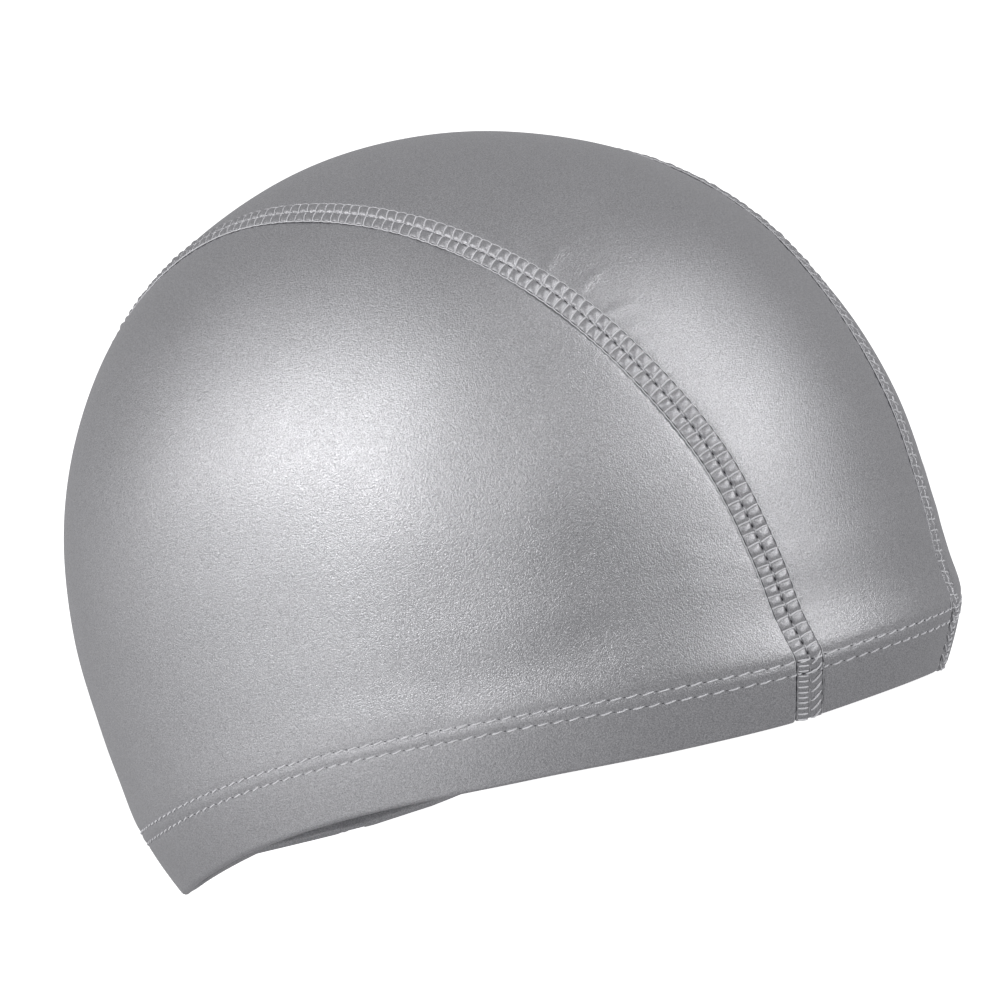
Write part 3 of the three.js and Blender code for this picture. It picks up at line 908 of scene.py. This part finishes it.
def needle_hole_shades(material):
    """Dark slots of painted shade between a row's stitches, where the thread goes in and out."""
    holes = Threads()
    run = np.linspace(-0.5, 0.5, 5)
    for row, level in enumerate(STITCH_ROWS):
        start, length = row_starts(row, level)
        share = start - 0.5 * (STITCH_PITCH - STITCH_LENGTH) / length + run * HOLE_SHADE_LENGTH / length
        paths, out = on_stitch_row(level, share, 0, HOLE_SHADE_LIFT)
        holes.tubes(paths, out, HOLE_SHADE_RADIUS * np.sqrt(1.02 - (2 * run) ** 2))
    return holes.piece("needle_hole_shades", material)


# Materials.
def new_material(name):
    material = bpy.data.materials.new(name)
    material.use_nodes = True
    nodes = material.node_tree.nodes
    return material, nodes, material.node_tree.links, nodes["Principled BSDF"]


def object_noise(nodes, links, scale, detail, roughness=0.5):
    """A noise that is fixed to the object. scale is in cycles for each metre."""
    place = nodes.new("ShaderNodeTexCoord")
    texture = nodes.new("ShaderNodeTexNoise")
    texture.inputs["Scale"].default_value = scale
    texture.inputs["Detail"].default_value = detail
    texture.inputs["Roughness"].default_value = roughness
    links.new(place.outputs["Object"], texture.inputs["Vector"])
    return texture


def tinted(nodes, links, factor, dark, light):
    """A colour between two, by a factor."""
    ramp = nodes.new("ShaderNodeValToRGB")
    ramp.color_ramp.elements[0].position = 0.3
    ramp.color_ramp.elements[0].color = (*dark, 1)
    ramp.color_ramp.elements[1].position = 0.7
    ramp.color_ramp.elements[1].color = (*light, 1)
    links.new(factor, ramp.inputs["Fac"])
    return ramp.outputs["Color"]


def add_relief(nodes, links, shader, height, depth):
    """A fine bump from a texture. depth is in millimetres."""
    relief = nodes.new("ShaderNodeBump")
    relief.inputs["Distance"].default_value = depth * MM
    links.new(height, relief.inputs["Height"])
    links.new(relief.outputs["Normal"], shader.inputs["Normal"])


def coated_cloth(name, dark, light, metallic, roughness, grain):
    """Pearl silver coated cloth: a satin metal look with a fine leathery grain."""
    material, nodes, links, shader = new_material(name)
    fine = object_noise(nodes, links, 3600, 1, 0.6)
    coarse = object_noise(nodes, links, 1500, 2)
    mottle = object_noise(nodes, links, 60, 4)
    links.new(tinted(nodes, links, fine.outputs["Fac"], dark, light), shader.inputs["Base Color"])
    shader.inputs["Metallic"].default_value = metallic
    spread = nodes.new("ShaderNodeMapRange")
    spread.inputs["From Min"].default_value = 0.3
    spread.inputs["From Max"].default_value = 0.7
    spread.inputs["To Min"].default_value = roughness - 0.03
    spread.inputs["To Max"].default_value = roughness + 0.03
    links.new(mottle.outputs["Fac"], spread.inputs["Value"])
    links.new(spread.outputs["Result"], shader.inputs["Roughness"])
    add = nodes.new("ShaderNodeMath")
    add.operation = "MULTIPLY_ADD"
    add.inputs[1].default_value = 0.6
    links.new(coarse.outputs["Fac"], add.inputs[0])
    links.new(fine.outputs["Fac"], add.inputs[2])
    add_relief(nodes, links, shader, add.outputs["Value"], grain)
    return material


def lining_side():
    """The uncoated inside of the cloth: a matt grey knit."""
    material, nodes, links, shader = new_material("cloth_inside")
    fine = object_noise(nodes, links, 1100, 3, 0.6)
    colour = tinted(nodes, links, fine.outputs["Fac"], (0.22, 0.22, 0.235), (0.33, 0.33, 0.35))
    links.new(colour, shader.inputs["Base Color"])
    shader.inputs["Roughness"].default_value = 0.85
    add_relief(nodes, links, shader, fine.outputs["Fac"], 0.12)
    return material


def thread_material():
    """Light grey textured yarn."""
    material, nodes, links, shader = new_material("seam_yarn")
    fibre = object_noise(nodes, links, 5200, 2, 0.7)
    colour = tinted(nodes, links, fibre.outputs["Fac"], (0.64, 0.64, 0.66), (0.88, 0.88, 0.90))
    links.new(colour, shader.inputs["Base Color"])
    shader.inputs["Roughness"].default_value = 0.55
    add_relief(nodes, links, shader, fibre.outputs["Fac"], 0.05)
    return material


# A near-black colour for the dark slots: painted shade in the needle holes.
def hole_shade_material():
    material, _, _, shader = new_material("needle_hole_shade")
    shader.inputs["Base Color"].default_value = (0.09, 0.09, 0.10, 1)
    shader.inputs["Roughness"].default_value = 0.9
    return material


def place(piece, slot, *nodes):
    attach(piece, "root")
    if nodes:
        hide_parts(*nodes)


def build_cap():
    outside = coated_cloth("coated_cloth", (0.38, 0.378, 0.395), (0.66, 0.658, 0.675), 0.85, 0.40, 0.11)
    # The hem is the same coated cloth with its colours a little darker: painted shade, as the folded
    # hem faces down.
    hem = coated_cloth("hem_cloth", (0.36, 0.358, 0.375), (0.63, 0.628, 0.645), 0.85, 0.43, 0.11)
    tape = coated_cloth("seam_tape", (0.37, 0.368, 0.385), (0.57, 0.568, 0.585), 0.80, 0.42, 0.09)
    inside = lining_side()
    yarn = thread_material()
    cloth = [outside, inside]
    place(centre_panel(cloth), "coated_cloth", "centre_panel")
    place(side_panel(LEFT, "left_side_cloth", cloth), "coated_cloth", "left_side_panel")
    place(side_panel(RIGHT, "right_side_cloth", cloth), "coated_cloth", "right_side_panel")
    place(hem_band([hem]), "hem_cloth", "hem_band")
    place(seam_tape(LEFT, "left_seam_tape", [tape, inside]), "seam_thread", "left_seam")
    place(seam_tape(RIGHT, "right_seam_tape", [tape, inside]), "seam_thread", "right_seam")
    place(seam_threads(LEFT, "left_seam_threads", yarn), "seam_thread")
    place(seam_threads(RIGHT, "right_seam_threads", yarn), "seam_thread")
    place(hem_stitches(yarn), "seam_thread")
    # Near-black slots of painted shade in the needle holes of the seams and the hem.
    holes = hole_shade_material()
    place(seam_hole_shade(LEFT, "left_seam_hole_shade", holes), "seam_thread")
    place(seam_hole_shade(RIGHT, "right_seam_hole_shade", holes), "seam_thread")
    place(needle_hole_shades(holes), "hem_cloth")


CAP_MIDDLE = Vector((0, 0, HEIGHT / 2 * MM))


def direction(azimuth, elevation):
    """The way from the cap's middle, in degrees: azimuth 0 is -Y and 90 is +X."""
    a, e = np.radians(azimuth), np.radians(elevation)
    return Vector((np.sin(a) * np.cos(e), -np.cos(a) * np.cos(e), np.sin(e)))


# The stage, in metres: a pale bowl of floor and backdrop round the cap.
FLOOR_Z = -0.0003
BOWL_PROFILE = ((0.0, 0.0), (3.2, 0.0), (3.9, 0.08), (4.4, 0.4), (4.7, 1.0), (4.8, 6.0))
BOWL_TURNS = 96
BOWL_GLOW = 1.0


def add_stage():
    points, faces = [(0.0, 0.0, FLOOR_Z)], []
    for radius, height in BOWL_PROFILE[1:]:
        for k in range(BOWL_TURNS):
            angle = 2 * np.pi * k / BOWL_TURNS
            points.append((radius * np.cos(angle), radius * np.sin(angle), FLOOR_Z + height))
    for k in range(BOWL_TURNS):
        faces.append((0, 1 + k, 1 + (k + 1) % BOWL_TURNS))
    for face in quads(len(BOWL_PROFILE) - 1, BOWL_TURNS, wrap_columns=True, first=1):
        faces.append(tuple(face[::-1]))
    mesh = bpy.data.meshes.new("floor")
    mesh.from_pydata(points, [], faces)
    mesh.polygons.foreach_set("use_smooth", [True] * len(mesh.polygons))
    floor = bpy.data.objects.new("floor", mesh)
    bpy.context.scene.collection.objects.link(floor)
    material, _, _, shader = new_material("pale_floor")
    shader.inputs["Base Color"].default_value = (0.8, 0.8, 0.8, 1)
    shader.inputs["Roughness"].default_value = 0.9
    shader.inputs["Emission Color"].default_value = (1, 1, 1, 1)
    shader.inputs["Emission Strength"].default_value = BOWL_GLOW
    mesh.materials.append(material)
    floor.visible_glossy = False
    floor.visible_diffuse = False
    floor.visible_shadow = False


# A dark card before the camera, which the camera doesn't see, keeps the cloth between the two
# highlights from washing out. Its azimuth and elevation, then its distance and size in metres.
FLAG_DIRECTION = (45, -10)
FLAG_DISTANCE = 1.1
FLAG_SIZE = (0.55, 0.40)


def add_flag():
    half_width, half_height = FLAG_SIZE[0] / 2, FLAG_SIZE[1] / 2
    corners = [(-half_width, -half_height, 0), (half_width, -half_height, 0),
               (half_width, half_height, 0), (-half_width, half_height, 0)]
    mesh = bpy.data.meshes.new("flag")
    mesh.from_pydata(corners, [], [(0, 1, 2, 3)])
    flag = bpy.data.objects.new("flag", mesh)
    bpy.context.scene.collection.objects.link(flag)
    material, _, _, shader = new_material("black_card")
    shader.inputs["Base Color"].default_value = (0, 0, 0, 1)
    shader.inputs["Roughness"].default_value = 1
    shader.inputs["Specular IOR Level"].default_value = 0
    mesh.materials.append(material)
    toward = direction(*FLAG_DIRECTION)
    flag.location = CAP_MIDDLE + toward * FLAG_DISTANCE
    flag.rotation_euler = toward.to_track_quat("Z", "Y").to_euler()
    flag.visible_camera = False
    flag.visible_shadow = False


# The lights, in degrees, metres and watts. The last one is the light that a table throws back up
# under the cap.
LIGHTS = table("azimuth elevation distance width height power", [
    [-6, 20, 1.3, 0.60, 0.60, 4.9],
    [18, 40, 1.3, 0.50, 0.50, 1.5],
    [-38, 15, 1.3, 0.50, 0.80, 1.7],
    [-70, 0, 1.3, 0.70, 0.90, 0.4],
    [100, 10, 1.3, 0.30, 0.50, 1.9],
    [74, 2, 1.3, 0.20, 0.40, 1.4],
    [108, 34, 1.3, 0.35, 0.45, 2.5],
    [-20, 60, 1.4, 0.70, 0.70, 0.6],
    [-30, -28, 1.3, 0.90, 0.60, 1.7],
    [0, -90, 0.073, 0.12, 0.09, 0.04],
])
WORLD_LIGHT = 0.385


def add_lights():
    for i in range(len(LIGHTS["power"])):
        spec = {name: float(column[i]) for name, column in LIGHTS.items()}
        data = bpy.data.lights.new(f"softbox_{i}", "AREA")
        data.shape = "RECTANGLE"
        data.size = spec["width"]
        data.size_y = spec["height"]
        data.energy = spec["power"]
        lamp = bpy.data.objects.new(data.name, data)
        toward = direction(spec["azimuth"], spec["elevation"])
        lamp.location = CAP_MIDDLE + toward * spec["distance"]
        lamp.rotation_euler = toward.to_track_quat("Z", "Y").to_euler()
        bpy.context.scene.collection.objects.link(lamp)
    world = bpy.data.worlds.new("studio")
    world.use_nodes = True
    background = world.node_tree.nodes["Background"]
    background.inputs["Color"].default_value = (1.0, 1.0, 1.02, 1)
    background.inputs["Strength"].default_value = WORLD_LIGHT
    bpy.context.scene.world = world


# The camera: its direction from the cap, its turn about its own line of sight, and where the
# middle of the cap falls in the picture of 1000 by 1000 pixels.
CAMERA_AZIMUTH = 42
CAMERA_DISTANCE = 1.5
CAMERA_ROLL = -17.5
PICTURE = 1000
PIXELS_PER_MM = 4.67
MIDDLE_PIXEL = (466.5, 463)
SENSOR = 36


def add_camera():
    data = bpy.data.cameras.new("camera")
    data.sensor_width = SENSOR
    data.lens = SENSOR * PIXELS_PER_MM * CAMERA_DISTANCE / MM / PICTURE
    data.clip_end = 100
    camera = bpy.data.objects.new("camera", data)
    back = direction(CAMERA_AZIMUTH, 0)
    roll = Matrix.Rotation(np.radians(CAMERA_ROLL), 3, "Z")
    turn = back.to_track_quat("Z", "Y").to_matrix() @ roll
    right = (PICTURE / 2 - MIDDLE_PIXEL[0]) / PIXELS_PER_MM * MM
    down = (PICTURE / 2 - MIDDLE_PIXEL[1]) / PIXELS_PER_MM * MM
    spot = CAP_MIDDLE + back * CAMERA_DISTANCE + turn @ Vector((right, -down, 0))
    camera.matrix_world = Matrix.Translation(spot) @ turn.to_4x4()
    bpy.context.scene.collection.objects.link(camera)
    bpy.context.scene.camera = camera


build_cap()
add_stage()
add_flag()
add_lights()
add_camera()
bpy.context.scene.view_settings.view_transform = "Standard"
